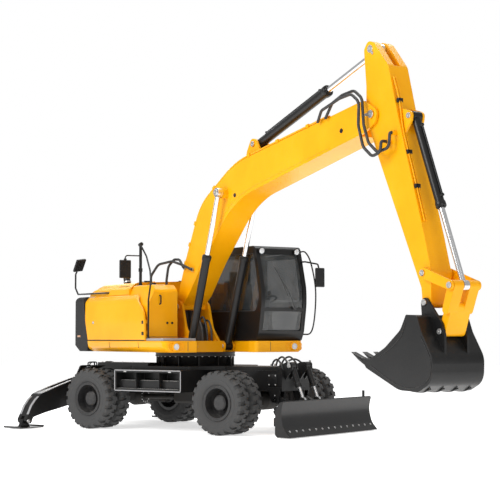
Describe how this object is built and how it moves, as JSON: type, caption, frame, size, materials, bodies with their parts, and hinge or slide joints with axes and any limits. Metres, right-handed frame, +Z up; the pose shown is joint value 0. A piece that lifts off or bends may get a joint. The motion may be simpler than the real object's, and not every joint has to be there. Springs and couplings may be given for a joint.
{
  "type": "wheeled excavator",
  "caption": "Wheeled excavator with twin tyres, dozer blade, stabilisers, slewing body with cab, one-piece boom, dipper and toothed bucket.",
  "frame": {"origin": "on the ground straight under the slewing axis", "axes": "+X along the carrier towards the dozer blade, +Y to its left, +Z up; the superstructure is turned 20 degrees to the right of +X"},
  "size_m": [9.7604, 5.2499, 5.8408],
  "materials": {
    "black_paint": "satin black enamel",
    "cast": "rough cast",
    "chrome_rod": "polished",
    "glass": "clear",
    "hose": "matt",
    "lens": "clear",
    "seat_cloth": "woven",
    "tyre_rubber": "matt",
    "yellow_paint": "gloss enamel"
  },
  "bodies": {
    "chassis": {"chassis_frame": "black_paint", "turntable": "black_paint", "blade_brackets": "black_paint", "stabiliser_frame": "black_paint", "side_boxes": "black_paint", "drive_train": "cast"},
    "knuckle_right": {"knuckle_right": "black_paint"},
    "knuckle_left": {"knuckle_left": "black_paint"},
    "steering_rod": {"steering_rod": "chrome_rod"},
    "blade": {"blade": "black_paint"},
    "blade_barrels": {"blade_barrels": "black_paint"},
    "blade_rods": {"blade_rods": "chrome_rod"},
    "superstructure": {"deck": "yellow_paint", "house_frame": "yellow_paint", "counterweight": "black_paint", "engine_block": "cast", "fuel_tank": "yellow_paint", "hydraulics": "cast", "deck_hoses": "hose", "cab_shell": "black_paint", "cab_panels": "black_paint", "cab_glass": "glass", "cab_interior": "seat_cloth", "lamps": "lens", "mast_rail": "black_paint"},
    "boom": {"boom": "yellow_paint", "boom_pipes": "yellow_paint", "boom_hoses": "hose"},
    "boom_barrels": {"boom_barrels": "black_paint"},
    "boom_rods": {"boom_rods": "chrome_rod"},
    "dipper": {"dipper": "yellow_paint"},
    "dipper_barrel": {"dipper_barrel": "black_paint"},
    "dipper_rod": {"dipper_rod": "chrome_rod"},
    "bucket": {"bucket": "black_paint"},
    "bucket_barrel": {"bucket_barrel": "black_paint"},
    "bucket_rod": {"bucket_rod": "chrome_rod"},
    "tipping_lever": {"tipping_lever": "yellow_paint"},
    "tipping_link": {"tipping_link": "yellow_paint"},
    "cab_door": {"cab_door": "black_paint", "cab_door_glass": "glass"},
    "side_door_right": {"side_door_right": "yellow_paint"},
    "side_door_left": {"side_door_left": "yellow_paint"},
    "engine_hood": {"engine_hood": "yellow_paint", "hood_trim": "black_paint"},
    "wheel_front_left": {"wheel_front_left": "black_paint", "tyres_front_left": "tyre_rubber"},
    "wheel_front_right": {"wheel_front_right": "black_paint", "tyres_front_right": "tyre_rubber"},
    "wheel_rear_left": {"wheel_rear_left": "black_paint", "tyres_rear_left": "tyre_rubber"},
    "wheel_rear_right": {"wheel_rear_right": "black_paint", "tyres_rear_right": "tyre_rubber"},
    "stabiliser_leg_left": {"stabiliser_leg_left": "black_paint"},
    "stabiliser_pad_left": {"stabiliser_pad_left": "black_paint"},
    "stabiliser_barrel_left": {"stabiliser_barrel_left": "black_paint"},
    "stabiliser_rod_left": {"stabiliser_rod_left": "chrome_rod"},
    "stabiliser_leg_right": {"stabiliser_leg_right": "black_paint"},
    "stabiliser_pad_right": {"stabiliser_pad_right": "black_paint"},
    "stabiliser_barrel_right": {"stabiliser_barrel_right": "black_paint"},
    "stabiliser_rod_right": {"stabiliser_rod_right": "chrome_rod"}
  },
  "joints": [
    {"name": "steer_right", "type": "hinge", "parent": "chassis", "child": "knuckle_right", "pos_m": [1.565, -0.69, 0.525], "axis": [0, 0, 1], "range_deg": [-30, 30]},
    {"name": "steer_left", "type": "hinge", "parent": "chassis", "child": "knuckle_left", "pos_m": [1.565, 0.69, 0.525], "axis": [0, 0, 1], "range_deg": [-30, 30]},
    {"name": "steering_travel", "type": "slide", "parent": "chassis", "child": "steering_rod", "axis": [0, 1, 0], "range_m": [-0.11, 0.11]},
    {"name": "wheel_front_right_turn", "type": "hinge", "parent": "knuckle_right", "child": "wheel_front_right", "pos_m": [1.565, -1.04, 0.525], "axis": [0, 1, 0], "continuous": true},
    {"name": "wheel_front_left_turn", "type": "hinge", "parent": "knuckle_left", "child": "wheel_front_left", "pos_m": [1.565, 1.04, 0.525], "axis": [0, 1, 0], "continuous": true},
    {"name": "wheel_rear_right_turn", "type": "hinge", "parent": "chassis", "child": "wheel_rear_right", "pos_m": [-1.335, -1.04, 0.525], "axis": [0, 1, 0], "continuous": true},
    {"name": "wheel_rear_left_turn", "type": "hinge", "parent": "chassis", "child": "wheel_rear_left", "pos_m": [-1.335, 1.04, 0.525], "axis": [0, 1, 0], "continuous": true},
    {"name": "blade_lift", "type": "hinge", "parent": "chassis", "child": "blade", "pos_m": [2.06, 0, 0.56], "axis": [0, -1, 0], "range_deg": [-9, 24]},
    {"name": "blade_barrel_swing", "type": "hinge", "parent": "chassis", "child": "blade_barrels", "pos_m": [2.262, 0, 1.12], "axis": [0, -1, 0], "range_deg": [-3, 6.1]},
    {"name": "blade_rod_travel", "type": "slide", "parent": "blade_barrels", "child": "blade_rods", "axis": [0.3771, 0, -0.9262], "range_m": [-0.18158, 0.07434]},
    {"name": "stabiliser_right_lift", "type": "hinge", "parent": "chassis", "child": "stabiliser_leg_right", "pos_m": [-2.3, -0.47, 0.76], "axis": [-1, 0, 0], "range_deg": [-4, 32]},
    {"name": "pad_right_level", "type": "hinge", "parent": "stabiliser_leg_right", "child": "stabiliser_pad_right", "pos_m": [-2.3, -1.94, 0.13], "axis": [-1, 0, 0], "range_deg": [-34, 6]},
    {"name": "stabiliser_right_barrel_swing", "type": "hinge", "parent": "chassis", "child": "stabiliser_barrel_right", "pos_m": [-2.3, -0.33, 1.01], "axis": [-1, 0, 0], "range_deg": [-4.2, 25.59]},
    {"name": "stabiliser_right_rod_travel", "type": "slide", "parent": "stabiliser_barrel_right", "child": "stabiliser_rod_right", "axis": [0, -0.8767, -0.4811], "range_m": [-0.11633, 0.02329]},
    {"name": "stabiliser_left_lift", "type": "hinge", "parent": "chassis", "child": "stabiliser_leg_left", "pos_m": [-2.3, 0.47, 0.76], "axis": [1, 0, 0], "range_deg": [-4, 32]},
    {"name": "pad_left_level", "type": "hinge", "parent": "stabiliser_leg_left", "child": "stabiliser_pad_left", "pos_m": [-2.3, 1.94, 0.13], "axis": [1, 0, 0], "range_deg": [-34, 6]},
    {"name": "stabiliser_left_barrel_swing", "type": "hinge", "parent": "chassis", "child": "stabiliser_barrel_left", "pos_m": [-2.3, 0.33, 1.01], "axis": [1, 0, 0], "range_deg": [-4.2, 25.59]},
    {"name": "stabiliser_left_rod_travel", "type": "slide", "parent": "stabiliser_barrel_left", "child": "stabiliser_rod_left", "axis": [0, 0.8767, -0.4811], "range_m": [-0.11633, 0.02329]},
    {"name": "slew", "type": "hinge", "parent": "chassis", "child": "superstructure", "pos_m": [0, 0, 1.3], "axis": [0, 0, 1], "continuous": true},
    {"name": "boom_lift", "type": "hinge", "parent": "superstructure", "child": "boom", "pos_m": [0.08965, -0.19226, 2.12], "axis": [-0.342, -0.9397, 0], "range_deg": [-55, 22]},
    {"name": "boom_barrel_swing", "type": "hinge", "parent": "superstructure", "child": "boom_barrels", "pos_m": [0.63937, -0.39234, 1.44], "axis": [-0.342, -0.9397, 0], "range_deg": [-52.5, 21.69]},
    {"name": "boom_rod_travel", "type": "slide", "parent": "boom_barrels", "child": "boom_rods", "axis": [0.3187, -0.116, 0.9407], "range_m": [-0.79374, 0.3235]},
    {"name": "dipper_swing", "type": "hinge", "parent": "boom", "child": "dipper", "pos_m": [5.22977, -2.06311, 4.77], "axis": [0.342, 0.9397, 0], "range_deg": [-65, 40]},
    {"name": "dipper_barrel_swing", "type": "hinge", "parent": "boom", "child": "dipper_barrel", "pos_m": [2.13818, -0.93786, 4.741], "axis": [0.342, 0.9397, 0], "range_deg": [-2.42, 3.22]},
    {"name": "dipper_rod_travel", "type": "slide", "parent": "dipper_barrel", "child": "dipper_rod", "axis": [0.898, -0.3269, 0.2944], "range_m": [-0.99948, 0.61891]},
    {"name": "bucket_curl", "type": "hinge", "parent": "dipper", "child": "bucket", "pos_m": [6.29162, -2.44959, 2.061], "axis": [0.342, 0.9397, 0], "range_deg": [-95, 32]},
    {"name": "tipping_lever_swing", "type": "hinge", "parent": "dipper", "child": "tipping_lever", "pos_m": [6.29632, -2.4513, 2.455], "axis": [0.342, 0.9397, 0], "range_deg": [-89.5, 30.91]},
    {"name": "tipping_link_swing", "type": "hinge", "parent": "tipping_lever", "child": "tipping_link", "pos_m": [6.80845, -2.6377, 2.275], "axis": [0.342, 0.9397, 0], "range_deg": [-20.67, 59.1]},
    {"name": "bucket_barrel_swing", "type": "hinge", "parent": "dipper", "child": "bucket_barrel", "pos_m": [5.90165, -2.30765, 4.66], "axis": [0.342, 0.9397, 0], "range_deg": [-1.16, 1.17]},
    {"name": "bucket_rod_travel", "type": "slide", "parent": "bucket_barrel", "child": "bucket_rod", "axis": [0.3525, -0.1283, -0.927], "range_m": [-0.74244, 0.25672]},
    {"name": "cab_door_swing", "type": "hinge", "parent": "superstructure", "child": "cab_door", "pos_m": [0.73762, 1.06175, 2.3], "axis": [0, 0, 1], "range_deg": [0, 85]},
    {"name": "side_door_right_swing", "type": "hinge", "parent": "superstructure", "child": "side_door_right", "pos_m": [-0.01406, -1.3251, 1.9], "axis": [0, 0, 1], "range_deg": [0, 80]},
    {"name": "side_door_left_swing", "type": "hinge", "parent": "superstructure", "child": "side_door_left", "pos_m": [0.12494, 1.28475, 1.9], "axis": [0, 0, -1], "range_deg": [0, 80]},
    {"name": "hood_lift", "type": "hinge", "parent": "superstructure", "child": "engine_hood", "pos_m": [-0.45105, 0.16417, 2.6], "axis": [0.342, 0.9397, 0], "range_deg": [0, 50]}
  ],
  "couplings": [
    {"joint": "steer_left", "follows": "steer_right", "ratio": 1},
    {"joint": "steering_travel", "follows": "steer_right", "m_per_rad": -0.19576},
    {"joint": "blade_barrel_swing", "follows": "blade_lift", "ratio": 0.20628},
    {"joint": "blade_rod_travel", "follows": "blade_lift", "m_per_rad": -0.40963},
    {"joint": "pad_right_level", "follows": "stabiliser_right_lift", "ratio": -1},
    {"joint": "stabiliser_right_barrel_swing", "follows": "stabiliser_right_lift", "ratio": 0.764},
    {"joint": "stabiliser_right_rod_travel", "follows": "stabiliser_right_lift", "m_per_rad": -0.19039},
    {"joint": "pad_left_level", "follows": "stabiliser_left_lift", "ratio": -1},
    {"joint": "stabiliser_left_barrel_swing", "follows": "stabiliser_left_lift", "ratio": 0.764},
    {"joint": "stabiliser_left_rod_travel", "follows": "stabiliser_left_lift", "m_per_rad": -0.19039},
    {"joint": "boom_barrel_swing", "follows": "boom_lift", "ratio": 0.93371},
    {"joint": "boom_rod_travel", "follows": "boom_lift", "m_per_rad": 0.81645},
    {"joint": "dipper_barrel_swing", "follows": "dipper_swing", "ratio": -0.03191},
    {"joint": "dipper_rod_travel", "follows": "dipper_swing", "m_per_rad": 0.8722},
    {"joint": "tipping_lever_swing", "follows": "bucket_curl", "ratio": 0.93},
    {"joint": "tipping_link_swing", "follows": "bucket_curl", "ratio": -0.61},
    {"joint": "bucket_barrel_swing", "follows": "bucket_curl", "ratio": -0.00027},
    {"joint": "bucket_rod_travel", "follows": "bucket_curl", "m_per_rad": 0.44174}
  ]
}
